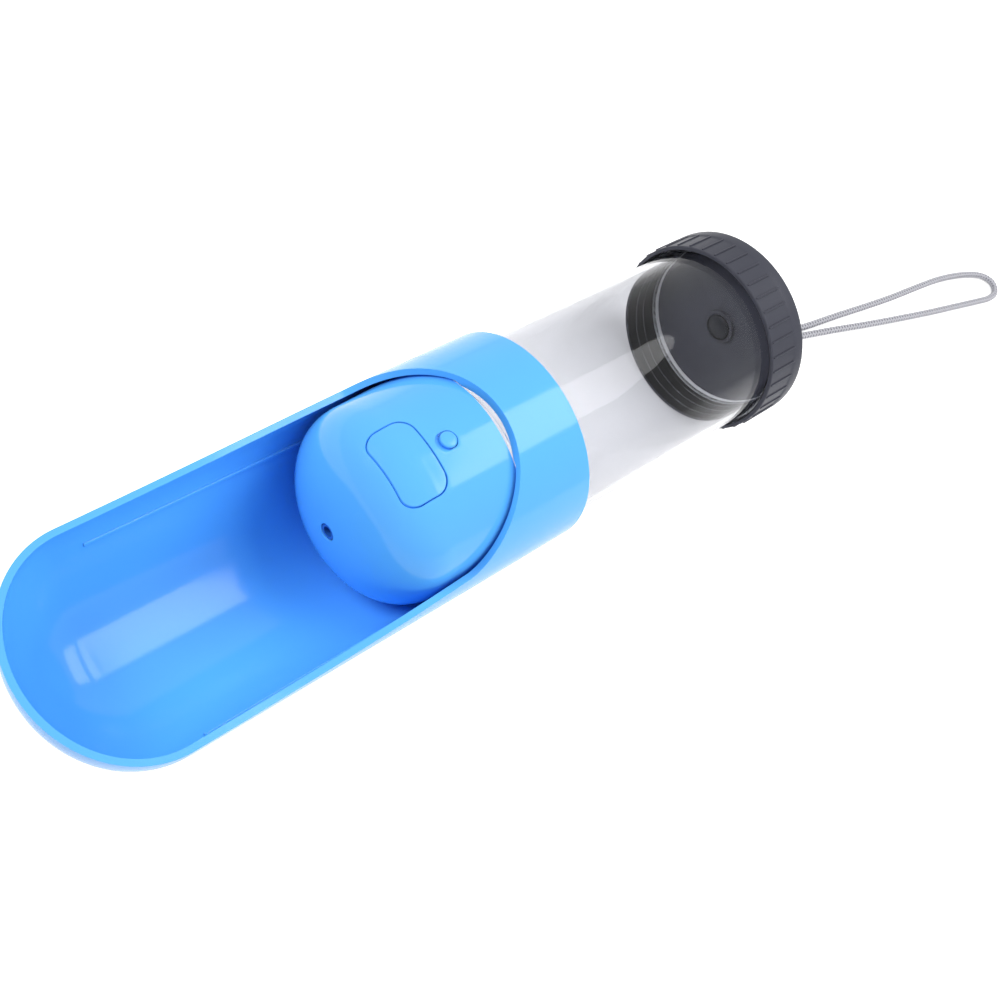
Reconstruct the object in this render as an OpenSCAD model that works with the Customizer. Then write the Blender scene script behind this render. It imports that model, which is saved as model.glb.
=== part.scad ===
// Slide-open travel water bottle for dogs, lying on its back with the trough up.
// World frame: +X from the trough to the end cap, +Z out of the trough's opening.
// The origin is the bottom centre of the box round the part without its lanyard.
// The sleeve rests on a narrow flat along its back, level with the end cap's lowest line.

/* [Bottle tube] */
// Outer diameter of the clear tube, which the sleeve, the head and the end cap fit round
tube_d = 63.2; // [60:0.2:68]
// Wall thickness of the tube
tube_wall = 2; // [1.6:0.1:2.4]
// Length of tube that shows between the collar and the end cap
tube_show = 90.8; // [86:0.2:110]
// Distance from the collar's end to the tube's front shoulder
shoulder_depth = 15; // [13:0.5:16]
// How much smaller the radius over the neck's thread is than the tube's
neck_step = 4.3; // [4:0.1:6]
// Height of a thread ridge
thread_h = 0.7; // [0.5:0.1:0.9]
// Pitch of both screw threads
thread_pitch = 4; // [3:0.5:5]

/* [Sleeve and trough] */
// Height of the ledge between the collar's guide and the trough's wider bore
ledge_h = 1.1; // [0.9:0.1:1.5]
// Wall thickness of the sleeve
sleeve_wall = 2; // [1.6:0.1:2.4]
// Length of the sleeve from the collar's end to the tip of the trough
sleeve_len = 168; // [160:1:190]
// How much narrower the sleeve is where its round end starts
sleeve_draft = 0.8; // [0:0.1:1]
// Length of the trough's round end
round_end = 30; // [26:1:34]
// Length of the closed collar above the bottle, at the top of the arch
collar_len = 22.5; // [20:0.5:24]
// Length of the arch from its top to its foot
arch_len = 25; // [20:1:30]
// Distance of the arch's foot inside the sleeve's outer radius, seen from above
arch_inset = 1; // [0.6:0.1:1.6]
// Height of the trough's rim above the bottle's axis at its tip
rim_tip_h = 0.5; // [0:0.5:3]
// Distance from the collar's end to the ledge that stops the head
stop_depth = 24.9; // [24:0.1:28]
// Width of each guide rail
rail_w = 1.4; // [1:0.1:2]
// Angle of each guide rail, measured from the top
rail_angle = 109; // [104:1:114]
// Distance from the trough's tip to the end of each rail
rail_end_gap = 38; // [33:1:42]

/* [Head] */
// Gap between the head's rear edge and the trough's bore
head_gap = 0.7; // [0.6:0.1:0.9]
// Wall thickness of the head's shell
head_wall = 2; // [1.6:0.1:2.2]
// Length of the head's slightly tapered barrel
barrel_len = 26.1; // [25:0.1:28]
// How much smaller the radius is where the dome starts
barrel_draft = 0.9; // [0.5:0.1:1.2]
// Length of the dome in front of the barrel
dome_len = 21; // [20:0.5:24]
// Radius of the outlet hole in the dome's tip
outlet_r = 2.8; // [2.6:0.1:3.2]

/* [Button and lock] */
// Length of the press button along the bottle
button_l = 14.4; // [13.6:0.2:15.6]
// Width of the press button across the bottle
button_w = 24.2; // [22:0.2:26]
// Corner radius of the press button
button_corner = 4.5; // [3:0.5:6]
// Gap round the press button
button_gap = 0.35; // [0.3:0.05:0.5]
// Travel of the press button
button_travel = 2.5; // [2:0.1:3]
// Radius of the lock knob
knob_r = 2.6; // [2.2:0.1:2.8]
// Travel of the lock knob
lock_travel = 1.4; // [1.2:0.1:2]

/* [Valve] */
// Radius of the valve stem
stem_r = 1.5; // [1.2:0.1:1.8]
// Radius of the poppet on the stem
poppet_r = 4.6; // [4.2:0.1:4.8]
// Wire diameter of the valve spring
spring_wire = 0.8; // [0.6:0.1:1]
// Free turns of the valve spring
spring_turns = 4; // [3:1:5]
// Length of the valve spring as built in
spring_len = 8; // [7.5:0.5:9]

/* [End cap] */
// Wall thickness of the end cap between its ribs
cap_wall = 1.6; // [1.4:0.1:2]
// Length of the end cap
cap_len = 17.5; // [16:0.5:20]
// Thickness of the end cap's floor
cap_floor = 3; // [2.6:0.1:4]
// Number of grip ribs round the end cap
rib_count = 40; // [30:2:48]
// Height of a grip rib
rib_h = 0.4; // [0.2:0.1:0.5]

/* [Lanyard] */
// Diameter of the braided lanyard cord
cord_d = 2.8; // [2:0.1:3]

/* [Clearances] */
// Gap between curved faces that move on each other
slide_gap = 0.3; // [0.25:0.05:0.35]
// Gap round a sealing ring that grips a sliding face
grip_gap = 0.1; // [0.05:0.05:0.15]
// Gap between pieces that are fixed to each other
fix_gap = 0.1; // [0.05:0.05:0.15]

/* [Hidden] */
$fn = 96;

eps = 0.01;
curve_steps = 16;

// Radii of the sleeve, tube and head
tube_r = tube_d / 2;
tube_bore_r = tube_r - tube_wall;
guide_r = tube_r + slide_gap;
bore_r = guide_r + ledge_h;
sleeve_r = bore_r + sleeve_wall;
head_r = bore_r - head_gap;
shoulder_r = head_r - barrel_draft;
end_r = sleeve_r - sleeve_draft / 2;
rail_h = 0.5;
rail_side_gap = 0.5;
rail_face_r = end_r - sleeve_wall - rail_h;
cap_bore_r = tube_r + thread_h + slide_gap;
rib_base_r = cap_bore_r + cap_wall;
cap_r = rib_base_r + rib_h;

// Height of the bottle's axis over the ground, set by the cap and the flat along the sleeve's back
rest_h = cap_r;

// Stations along the bottle, forward of the collar's end
head_start = stop_depth + slide_gap;
dome_start = head_start + barrel_len;
dome_tip = dome_start + dome_len;
end_start = sleeve_len - round_end;
arch_foot = collar_len + arch_len;
arch_half = sleeve_r - arch_inset;
rim_foot_h = sqrt(sleeve_r * sleeve_r - arch_half * arch_half);
arch_slope = arch_len * sleeve_r / (arch_half * arch_half);
arch_upright_h = sleeve_r / 2;
arch_step = 0.4;
cap_front = -tube_show;
cap_rear = cap_front - cap_len;
cap_inside = cap_rear + cap_floor;

// Silicone grip ring in the collar
grip_at = 9.5;
grip_w = 3;
grip_groove_r = guide_r + 1.1;

// Neck, its seal and the socket in the head
neck_crest_r = tube_r - neck_step;
neck_root_r = neck_crest_r - thread_h;
neck_bore_r = neck_root_r - tube_wall;
neck_taper = 3;
neck_start = shoulder_depth + neck_taper;
socket_depth = 12.8;
socket_end = head_start + socket_depth;
neck_seal_t = 2;
neck_end = socket_end - neck_seal_t;
socket_r = neck_crest_r + slide_gap;
base_gap = 0.2;
base_r = head_r - barrel_draft - head_wall - base_gap;
base_disc_t = 4;
base_front = socket_end + base_disc_t;
flange_t = 2;

// Valve block and what it holds: heights are above the bottle's axis
plate_t = 2.5;
plate_front = base_front + plate_t;
plate_half_w = 14;
plate_top = 6;
block_half_w = 8;
button_forward = 3.4;
button_at = dome_start + button_forward;
block_front = button_at + block_half_w;
block_top = 9;
block_bottom = -18;
lower_r = 6;
upper_r = 5;
seat_top = -3;
seat_t = 2;
seat_hole_r = 3;
seal_t = 1.2;
seal_lift = 0.1;
poppet_t = 1.7;
inlet_h = -11;
inlet_r = 2.5;
outlet_bore_r = 2.2;
nozzle_seal_t = 1;
nozzle_flange_r = 5;
nozzle_flange_t = 1.5;
nozzle_wall = 0.8;
nozzle_rear = block_front + nozzle_seal_t;
chamber_top = 5;
seal_pocket_r = 3.4;
seal_pocket_t = 2.5;
poppet_top = seat_top - seat_t - seal_lift - seal_t;
poppet_low = poppet_top - poppet_t;
spring_low = poppet_low - spring_len;
spring_r = poppet_r - 1;
spring_cap_t = 1.5;
bush_rim_t = 1;
bush_pocket_t = 0.4;
rest_gap = 0.05;
vent_h = 14;
vent_r = 1.5;
vent_bead_r = 2.2;
vent_bead_t = 1.5;
screw_r = 1.1;
screw_head_r = 2.2;
screw_head_t = 1.5;
screw_slot_w = 0.5;
screw_slot_depth = 0.7;
screw_len = 6;
screw_side = 11;
screw_heights = [-14, 3];

// Button and lock
plate_drop = head_wall + slide_gap;
flange_under = 1.2;
flange_lip = 1.2;
boss_r = 3.2;
boss_low = 18;
stem_top = 24.2;
knob_at = base_front - 1;
knob_proud = 0.4;
knob_sunk = 1;
knob_floor = head_r - barrel_draft * (knob_at - head_start) / barrel_len - knob_sunk;
knob_stem_r = 1;
lock_drop = 1.4;
lock_top = head_r - barrel_draft - plate_drop - flange_under - lock_drop;
lock_t = 1.2;
lock_half_w = 4;
lock_post_r = 1.6;
lock_rear = knob_at - lock_post_r - 0.1;
button_rear = button_at - button_l / 2 - flange_lip;
lock_free = 0.6;
lock_front = button_rear - lock_free;
ledge_half_w = lock_half_w + 0.5;

// End cap
cap_seal_t = 1.5;
tube_rear = cap_inside + cap_seal_t;
edge_r = 0.5;
rear_round = 1.6;
rib_w = 0.6;
band_len = cap_len * 0.3;
band_slope = cap_len * 0.04;
plug_r = 4.85;
plug_h = 2;
plug_boss_r = 6.2;
plug_boss_h = 1.2;
stop_r = 4.2;
stop_t = 2.1;
cord_r = cord_d / 2;
leg_offset = cord_r + 0.1;
cord_hole_r = leg_offset + cord_r + slide_gap;
pocket_floor = 1.2;
plug_low = cap_rear + pocket_floor + stop_t;
plug_rim = cap_inside + plug_boss_h;

// The origin is midway between the trough's tip and the cap's rear face
collar_x = (sleeve_len + cap_rear) / 2;

// Height of the trough's rim at a station along the sleeve
function rim_h(u) =
    rim_tip_h + (rim_foot_h - rim_tip_h) * pow((sleeve_len - u) / (sleeve_len - arch_foot), 2.5);

// A quarter of a rounded end: radius r, length a, starting at station u
function round_pts(r, a, u, n) =
    [for (i = [0:curve_steps]) let (t = sin(90 * i / curve_steps))
        [r * pow(max(0, 1 - pow(t, n)), 1 / n), u + a * t]];

// Builders work lying along the bottle: local Z runs forward, local X points up
module place() {
    translate([collar_x, 0, rest_h]) rotate([0, -90, 0]) children();
}

module revolve(pts) {
    rotate_extrude() polygon(pts);
}

// A ring between two radii and two stations
module ring(r_in, r_out, u0, u1) {
    rotate_extrude() translate([r_in, u0]) square([r_out - r_in, u1 - u0]);
}

// A round rod along the bottle at height h and side y
module rod(r, u0, u1, h = 0, y = 0) {
    translate([h, y, u0]) cylinder(r = r, h = u1 - u0);
}

// A round rod that stands upright at station u
module upright(r, h0, h1, u) {
    translate([h0, 0, u]) rotate([0, 90, 0]) cylinder(r = r, h = h1 - h0);
}

// A box from its low to its high corner: height, side and station
module block(low, high) {
    translate(low) cube([high[0] - low[0], high[1] - low[1], high[2] - low[2]]);
}

// An upright prism over a plan drawn as [-station, side]
module plan_prism(h0, h1) {
    translate([h0, 0, 0]) rotate([0, 90, 0]) linear_extrude(h1 - h0) children();
}

module rounded_plan(l, w, r) {
    square([l - 2 * r, w], center = true);
    square([l, w - 2 * r], center = true);
    for (sx = [-1, 1], sy = [-1, 1]) {
        translate([sx * (l / 2 - r), sy * (w / 2 - r)]) circle(r = r);
    }
}

module slot_plan(r, travel) {
    circle(r = r);
    translate([-travel, 0]) circle(r = r);
    translate([-travel, -r]) square([travel, 2 * r]);
}

// The head's outer form, made smaller all round by inset and longer at the rear by back
module head_solid(inset, back = 0) {
    revolve(concat([[0, head_start - back], [head_r - inset, head_start - back]],
        round_pts(shoulder_r - inset, dome_len - inset, dome_start, 2.2)));
}

// Side view of the sleeve's edge, from the top of the arch to the trough's tip
edge_line = concat(
    [for (i = [0:curve_steps]) let (a = 90 * i / curve_steps)
        [sqrt(sleeve_r * sleeve_r - pow(arch_half * sin(a), 2)), arch_foot - arch_len * cos(a)]],
    [for (i = [1:curve_steps]) let (u = arch_foot + (sleeve_len - arch_foot) * i / curve_steps)
        [rim_h(u), u]]);

// Cuts the opening level from side to side, and the upper part of the arch upright
module opening_cut() {
    w = sleeve_r + 1;
    plan_prism(arch_upright_h, w) polygon([for (i = [-curve_steps:curve_steps])
        let (a = 90 * i / curve_steps)
        [arch_len * cos(a) - arch_foot - arch_step, arch_half * sin(a)]]);
    translate([0, w, 0]) rotate([90, 0, 0]) linear_extrude(2 * w) polygon(concat(
        [[w, collar_len - arch_slope]], edge_line, [[rim_tip_h, sleeve_len + 1], [w, sleeve_len + 1]]));
}

module trough_sleeve() color([0.25, 0.62, 0.98]) place() {
    difference() {
        revolve(concat([[0, 0], [sleeve_r, 0], [sleeve_r, collar_len]],
            round_pts(end_r, round_end, end_start, 2)));
        revolve(concat([[0, -1], [guide_r, -1], [guide_r, stop_depth], [bore_r, stop_depth]],
            round_pts(end_r - sleeve_wall, round_end - sleeve_wall, end_start, 2)));
        ring(guide_r - 1, grip_groove_r, grip_at - grip_w / 2, grip_at + grip_w / 2);
        opening_cut();
        block([-sleeve_r - 1, -sleeve_r, -1], [-rest_h, sleeve_r, sleeve_len]);
    }
    for (side = [-1, 1]) rotate([0, 0, side * rail_angle]) {
        block([rail_face_r, -rail_w / 2, stop_depth - 1],
            [end_r - sleeve_wall / 2, rail_w / 2, sleeve_len - rail_end_gap]);
    }
}

// Silicone ring in the collar that holds the bottle where it is put
module collar_grip_ring() color([0.15, 0.15, 0.17]) place() {
    ring(tube_r + grip_gap, grip_groove_r - fix_gap,
        grip_at - grip_w / 2 + fix_gap, grip_at + grip_w / 2 - fix_gap);
}

module head_shell() color([0.25, 0.62, 0.98]) place() difference() {
    head_solid(0);
    head_solid(head_wall, 1);
    translate([0, 0, button_at]) rotate([0, 90, 0]) linear_extrude(head_r + 1)
        rounded_plan(button_l + 2 * button_gap, button_w + 2 * button_gap, button_corner + button_gap);
    translate([knob_floor, 0, knob_at]) rotate([0, 90, 0]) linear_extrude(head_r)
        slot_plan(knob_r + slide_gap, lock_travel);
    translate([0, 0, knob_at]) rotate([0, 90, 0]) linear_extrude(head_r)
        slot_plan(knob_stem_r + slide_gap, lock_travel);
    rod(outlet_r, dome_start, dome_tip + 1);
    for (side = [-1, 1]) rotate([0, 0, side * rail_angle]) {
        block([rail_face_r - 2 * slide_gap, -rail_w / 2 - rail_side_gap, head_start - 1],
            [head_r + 1, rail_w / 2 + rail_side_gap, dome_tip]);
    }
}

module head_base() color([0.10, 0.30, 0.70]) place() difference() {
    union() {
        ring(socket_r, head_r - head_wall - base_gap, head_start, head_start + flange_t);
        ring(socket_r, base_r, head_start, socket_end);
        rod(base_r, socket_end, base_front);
    }
    rod(inlet_r, socket_end - 1, base_front + 1, inlet_h);
    rod(vent_r, socket_end - 1, base_front + 1, vent_h);
    for (h = screw_heights, side = [-1, 1]) {
        rod(screw_r + fix_gap / 2, plate_front - screw_len, base_front + 1, h, side * screw_side);
    }
    block([lock_top - lock_t - slide_gap, -lock_half_w - slide_gap, lock_rear - slide_gap],
        [head_r, lock_half_w + slide_gap, base_front + 1]);
}

module neck_seal() color([0.85, 0.85, 0.88]) place() {
    ring(neck_bore_r, neck_crest_r, neck_end, socket_end);
}

module press_button() color([0.28, 0.65, 1.0]) place() difference() {
    union() {
        intersection() {
            translate([0, 0, button_at]) rotate([0, 90, 0]) linear_extrude(head_r + 1)
                rounded_plan(button_l, button_w, button_corner);
            head_solid(0);
        }
        intersection() {
            translate([0, 0, button_at]) rotate([0, 90, 0]) linear_extrude(head_r + 1)
                rounded_plan(button_l + 2 * flange_lip, button_w + 2 * flange_lip,
                    button_corner + flange_lip);
            head_solid(plate_drop);
        }
    }
    difference() {
        head_solid(plate_drop + flange_under);
        upright(boss_r, boss_low, head_r, button_at);
        block([lock_top + slide_gap, -ledge_half_w, button_rear - 1],
            [head_r, ledge_half_w, button_rear + lock_travel + slide_gap]);
    }
    upright(stem_r + fix_gap / 2, 0, stem_top + fix_gap, button_at);
}

module valve_stem() color([0.80, 0.80, 0.83]) place() {
    upright(stem_r, poppet_low, stem_top, button_at);
    upright(poppet_r, poppet_low, poppet_top, button_at);
}

module valve_seal() color([0.90, 0.35, 0.20]) place() difference() {
    upright(poppet_r, poppet_top, poppet_top + seal_t, button_at);
    upright(stem_r + fix_gap / 2, poppet_top - 1, poppet_top + seal_t + 1, button_at);
}

module valve_seat() color([0.92, 0.92, 0.95]) place() difference() {
    upright(lower_r - fix_gap, seat_top - seat_t, seat_top, button_at);
    upright(seat_hole_r, seat_top - seat_t - 1, seat_top + 1, button_at);
}

module valve_block() color([0.88, 0.90, 0.93]) place() difference() {
    union() {
        block([block_bottom - 1, -plate_half_w, base_front], [plate_top, plate_half_w, plate_front]);
        block([block_bottom, -block_half_w, plate_front - 1], [block_top, block_half_w, block_front]);
    }
    upright(lower_r, block_bottom - 2, seat_top, button_at);
    upright(upper_r, seat_top - 1, chamber_top, button_at);
    upright(stem_r + slide_gap, chamber_top - 1, block_top + 1, button_at);
    upright(seal_pocket_r, block_top - seal_pocket_t, block_top + 1, button_at);
    rod(inlet_r, base_front - 1, button_at, inlet_h);
    rod(outlet_bore_r, button_at, block_front + 1);
    for (h = screw_heights, side = [-1, 1]) {
        rod(screw_r + 2 * fix_gap, base_front - 1, plate_front + 1, h, side * screw_side);
    }
}

// Rings of the valve spring's wire, swept along a helix
spring_sides = 8;
spring_rings = 18;
function spring_pt(i, j) =
    let (turn = 360 * i / spring_rings)
    let (rise = (spring_len - spring_wire - rest_gap) * i / (spring_rings * spring_turns))
    let (a = 360 * j / spring_sides)
    let (r = spring_r + spring_wire / 2 * cos(a))
    [spring_low + spring_wire / 2 + rise + spring_wire / 2 * sin(a),
        r * sin(turn), button_at + r * cos(turn)];

// Faces of a swept tube of n + 1 rings with s sides
function sweep_faces(n, s) = concat(
    [[for (j = [0:s - 1]) j]],
    [for (i = [0:n - 1], j = [0:s - 1])
        [i * s + j, (i + 1) * s + j, (i + 1) * s + (j + 1) % s, i * s + (j + 1) % s]],
    [[for (j = [s - 1:-1:0]) n * s + j]]);

module valve_spring() color([0.75, 0.76, 0.78]) place() {
    n = spring_rings * spring_turns;
    polyhedron([for (i = [0:n], j = [0:spring_sides - 1]) spring_pt(i, j)],
        sweep_faces(n, spring_sides));
}

module spring_cap() color([0.88, 0.90, 0.93]) place() {
    upright(lower_r - fix_gap, block_bottom - eps, spring_low - rest_gap, button_at);
    upright(block_half_w - 0.5, block_bottom - spring_cap_t, block_bottom, button_at);
}

module stem_seal() color([0.15, 0.15, 0.17]) place() difference() {
    upright(seal_pocket_r - fix_gap, block_top - seal_pocket_t, block_top - bush_pocket_t,
        button_at);
    upright(stem_r + 0.05, 0, block_top + 1, button_at);
}

module stem_bush() color([0.88, 0.90, 0.93]) place() difference() {
    union() {
        upright(seal_pocket_r - fix_gap, block_top - bush_pocket_t, block_top + eps, button_at);
        upright(upper_r, block_top, block_top + bush_rim_t, button_at);
    }
    upright(stem_r + 0.08, 0, block_top + 3, button_at);
}

module block_screws() color([0.72, 0.73, 0.75]) place() {
    for (h = screw_heights, side = [-1, 1]) {
        rod(screw_r, plate_front - screw_len + fix_gap, plate_front + eps, h, side * screw_side);
        difference() {
            rod(screw_head_r, plate_front, plate_front + screw_head_t, h, side * screw_side);
            block([h - screw_head_r, side * screw_side - screw_slot_w / 2,
                plate_front + screw_head_t - screw_slot_depth],
                [h + screw_head_r, side * screw_side + screw_slot_w / 2,
                plate_front + screw_head_t + 1]);
        }
    }
}

module nozzle_seal() color([0.15, 0.15, 0.17]) place() {
    ring(outlet_bore_r, nozzle_flange_r, block_front, nozzle_rear);
}

module outlet_nozzle() color([0.20, 0.45, 0.85]) place() difference() {
    union() {
        rod(nozzle_flange_r, nozzle_rear, nozzle_rear + nozzle_flange_t);
        rod(outlet_r + nozzle_wall, nozzle_rear, dome_tip - head_wall - 2 * slide_gap);
        rod(outlet_r - slide_gap, nozzle_rear, dome_tip - slide_gap);
    }
    rod(outlet_r - slide_gap - nozzle_wall, block_front, dome_tip + 1);
}

module air_vent_valve() color([0.92, 0.92, 0.95]) place() {
    rod(3 * vent_r, socket_end - 1, socket_end, vent_h);
    rod(vent_r - fix_gap, socket_end - eps, base_front + eps, vent_h);
    rod(vent_bead_r, base_front, base_front + vent_bead_t, vent_h);
}

module lock_knob() color([0.28, 0.65, 1.0]) place() {
    upright(knob_r, knob_floor + fix_gap, knob_floor + knob_sunk + knob_proud, knob_at);
    upright(knob_stem_r, lock_top - lock_t, knob_floor + fix_gap + eps, knob_at);
}

module lock_plate() color([0.88, 0.90, 0.93]) place() difference() {
    union() {
        block([lock_top - lock_t, -lock_half_w, lock_rear], [lock_top, lock_half_w, lock_front]);
        upright(lock_post_r, lock_top - lock_t, knob_floor + knob_sunk - head_wall - slide_gap,
            knob_at);
    }
    upright(knob_stem_r + fix_gap / 2, lock_top - 3, head_r, knob_at);
}

// A thread ridge at station u on a wall of radius r
module ridge(r, u) {
    w = thread_pitch * 0.45;
    revolve([[r - 0.5, u - w / 2], [r, u - w / 2], [r + thread_h, u - w / 5],
        [r + thread_h, u + w / 5], [r, u + w / 2], [r - 0.5, u + w / 2]]);
}

module bottle_tube() color([0.85, 0.92, 0.97, 0.35]) place() {
    revolve([[tube_bore_r, tube_rear], [tube_r, tube_rear], [tube_r, shoulder_depth],
        [neck_root_r, neck_start], [neck_root_r, neck_end], [neck_bore_r, neck_end],
        [neck_bore_r, neck_start - 1], [tube_bore_r, shoulder_depth - 1]]);
    for (u = [neck_start + 2.5 : thread_pitch : neck_end - 1.5]) ridge(neck_root_r, u);
    for (u = [tube_rear + 2.5 : thread_pitch : cap_front - 2]) ridge(tube_r, u);
}

module cap_seal() color([0.80, 0.80, 0.82]) place() {
    ring(tube_bore_r, tube_r + thread_h / 2, cap_inside, cap_inside + cap_seal_t);
}

module end_cap() color([0.31, 0.32, 0.37]) place() {
    difference() {
        union() {
            revolve([[0, cap_rear], [cap_r - rear_round, cap_rear],
                [cap_r - rear_round / 4, cap_rear + rear_round / 4],
                [cap_r, cap_rear + rear_round], [cap_r, cap_rear + band_len],
                [rib_base_r, cap_rear + band_len + band_slope], [rib_base_r, cap_front - edge_r],
                [rib_base_r - edge_r, cap_front], [0, cap_front]]);
            for (i = [0:rib_count - 1]) rotate([0, 0, 360 * i / rib_count]) {
                block([rib_base_r - edge_r, -rib_w / 2, cap_rear + band_len],
                    [cap_r, rib_w / 2, cap_front - edge_r - rib_w / 2]);
            }
        }
        rod(cap_bore_r, cap_inside, cap_front + 1);
        rod(cord_hole_r, cap_rear - 1, cap_inside + 1);
        rod(stop_r + fix_gap, cap_rear + pocket_floor, cap_inside + 1);
    }
    ring(stop_r + fix_gap, plug_boss_r, cap_inside - eps, cap_inside + plug_boss_h);
}

module cord_plug() color([0.27, 0.28, 0.33]) place() {
    rod(stop_r, plug_low, plug_rim + eps);
    revolve(concat([[0, plug_rim]], round_pts(plug_r, plug_h, plug_rim, 2.4)));
}

module cord_stop() color([0.55, 0.56, 0.58]) place() {
    rod(stop_r, cap_rear + pocket_floor, plug_low);
}

// Route of the lanyard's loop: behind the cap's rear face, side, height over the ground
cord_route = [[-1.15, 1.5, 34.6], [4, 1.5, 34.6], [10, 1.1, 33.8], [17, 0.3, 30.6], [25, -1, 24.2],
    [33, -2.4, 16.8], [42, -4, 10], [51, -5.6, 5], [61, -7.4, 2.2], [73, -9.4, 1.5],
    [92, -11.8, 1.5], [112, -14.6, 1.5], [128, -16.6, 1.5], [144, -18.1, 1.5],
    [160, -19.8, 1.5], [173, -22.4, 1.5], [183, -25.6, 1.5], [189.5, -29.2, 1.5],
    [192, -34, 1.5], [189, -38.4, 1.5], [183, -39.3, 1.5], [174, -37.6, 1.5],
    [160, -34.6, 1.5], [142, -30.7, 1.5], [123, -26.2, 1.5], [104, -21.5, 1.5],
    [87, -17, 1.5], [71, -13, 1.5], [59.5, -10.5, 2.2], [49.5, -8.6, 5], [40.5, -7, 10],
    [31.5, -5.4, 16.8], [23.5, -4, 24.2], [16, -2.9, 30.6], [9.5, -2, 33.8], [4, -1.5, 34.6],
    [-1.15, -1.5, 34.6]];
cord_sides = 8;
cord_last = len(cord_route) - 1;

// A point on the smooth curve through the route, t of the way past point i
function cord_pt(i, t) =
    let (a = cord_route[max(0, i - 1)], b = cord_route[i])
    let (c = cord_route[min(cord_last, i + 1)], d = cord_route[min(cord_last, i + 2)])
    b + t * (c - a) / 2 + t * t * (a - 2.5 * b + 2 * c - 0.5 * d)
        + t * t * t * (-a + 3 * b - 3 * c + d) / 2;
cord_line = [for (i = [0:cord_last - 1], t = [0, 0.5]) cord_pt(i, t), cord_route[cord_last]];
cord_end = len(cord_line) - 1;

function cord_ring_pt(i, j) =
    let (way = cord_line[min(cord_end, i + 1)] - cord_line[max(0, i - 1)])
    let (side = cross(way, [0, 0, 1]) / norm(cross(way, [0, 0, 1])))
    let (up = cross(side, way) / norm(way))
    let (a = 360 * j / cord_sides)
    cord_line[i] + cord_r * (cos(a) * side + sin(a) * up);

module lanyard_cord() color([0.62, 0.63, 0.65]) translate([collar_x - cap_rear, 0, 0]) {
    polyhedron([for (i = [0:cord_end], j = [0:cord_sides - 1]) cord_ring_pt(i, j)],
        sweep_faces(cord_end, cord_sides));
}

trough_sleeve();
collar_grip_ring();
head_shell();
head_base();
neck_seal();
press_button();
valve_stem();
valve_seal();
valve_seat();
valve_block();
valve_spring();
spring_cap();
stem_seal();
stem_bush();
block_screws();
outlet_nozzle();
nozzle_seal();
air_vent_valve();
lock_knob();
lock_plate();
bottle_tube();
cap_seal();
end_cap();
cord_plug();
cord_stop();
lanyard_cord();
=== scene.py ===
# %% [markdown]
# # A slide-open travel bottle for dogs
# The bottle lies on its back, pulled open: a blue sleeve whose open half is a trough, a domed
# head with a press button, a clear tube and a dark screw cap with a braided loop. Its packed
# CAD model comes in first as a fixed frame, and each visible piece is then built around it.

# %% Load the frame
import math

import bmesh
import bpy
from mathutils import Matrix, Vector


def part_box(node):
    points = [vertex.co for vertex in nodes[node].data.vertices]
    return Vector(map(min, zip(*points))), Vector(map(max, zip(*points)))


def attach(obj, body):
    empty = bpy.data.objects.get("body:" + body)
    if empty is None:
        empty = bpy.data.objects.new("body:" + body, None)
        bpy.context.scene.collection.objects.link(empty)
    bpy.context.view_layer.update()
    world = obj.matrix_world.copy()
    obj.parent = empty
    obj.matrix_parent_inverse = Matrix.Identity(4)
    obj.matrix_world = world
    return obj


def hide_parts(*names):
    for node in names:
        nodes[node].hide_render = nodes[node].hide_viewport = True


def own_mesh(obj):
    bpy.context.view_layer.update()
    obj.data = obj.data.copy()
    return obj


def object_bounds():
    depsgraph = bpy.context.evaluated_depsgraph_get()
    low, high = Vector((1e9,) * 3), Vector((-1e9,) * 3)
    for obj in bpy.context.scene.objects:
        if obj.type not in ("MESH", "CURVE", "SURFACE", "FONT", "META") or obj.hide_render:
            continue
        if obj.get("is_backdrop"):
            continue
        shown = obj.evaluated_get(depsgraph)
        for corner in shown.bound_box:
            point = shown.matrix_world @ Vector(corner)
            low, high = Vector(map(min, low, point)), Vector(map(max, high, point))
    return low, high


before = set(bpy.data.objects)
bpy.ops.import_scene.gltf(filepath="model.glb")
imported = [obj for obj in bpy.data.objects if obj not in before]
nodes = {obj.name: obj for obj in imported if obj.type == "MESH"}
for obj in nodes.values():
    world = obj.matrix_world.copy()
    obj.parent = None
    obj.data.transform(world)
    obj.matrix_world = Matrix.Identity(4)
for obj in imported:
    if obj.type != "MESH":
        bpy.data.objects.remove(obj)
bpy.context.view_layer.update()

# %% [markdown]
# Places on the bottle are easiest to give as its maker would: a station along the axis, forward
# of the collar's end, a distance to the side and a height over the axis, all in millimetres.
# One small function turns them into metres in the frame, so no piece is ever moved afterwards.

# %% Places on the bottle
MM = 0.001
COLLAR_X = 29.85
AXIS_Z = 34.6
AXIS = Vector((0, 0, AXIS_Z * MM))


def spot(station, side, height):
    return Vector((COLLAR_X - station, side, AXIS_Z + height)) * MM


def station_of(point):
    return COLLAR_X - point.x / MM


print("collar's end at", spot(0, 0, 0)[:])

# %% [markdown]
# ## Camera
# The camera stands above the trough's side and is rolled, so that the bottle lies across the
# picture. A 47 mm lens on a 36 mm sensor gives the mild perspective of a product picture.

# %% Camera
scene = bpy.context.scene
camera = bpy.data.objects.new("camera", bpy.data.cameras.new("camera"))
camera.location = (-0.21006, -0.07560, 0.36207)
camera.rotation_euler = (0.477290, -0.402144, -0.663287)
camera.data.sensor_width = 36
camera.data.lens = 46.93
scene.collection.objects.link(camera)
scene.camera = camera
scene.view_settings.view_transform = "Standard"
print("camera at", camera.location[:])

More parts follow.
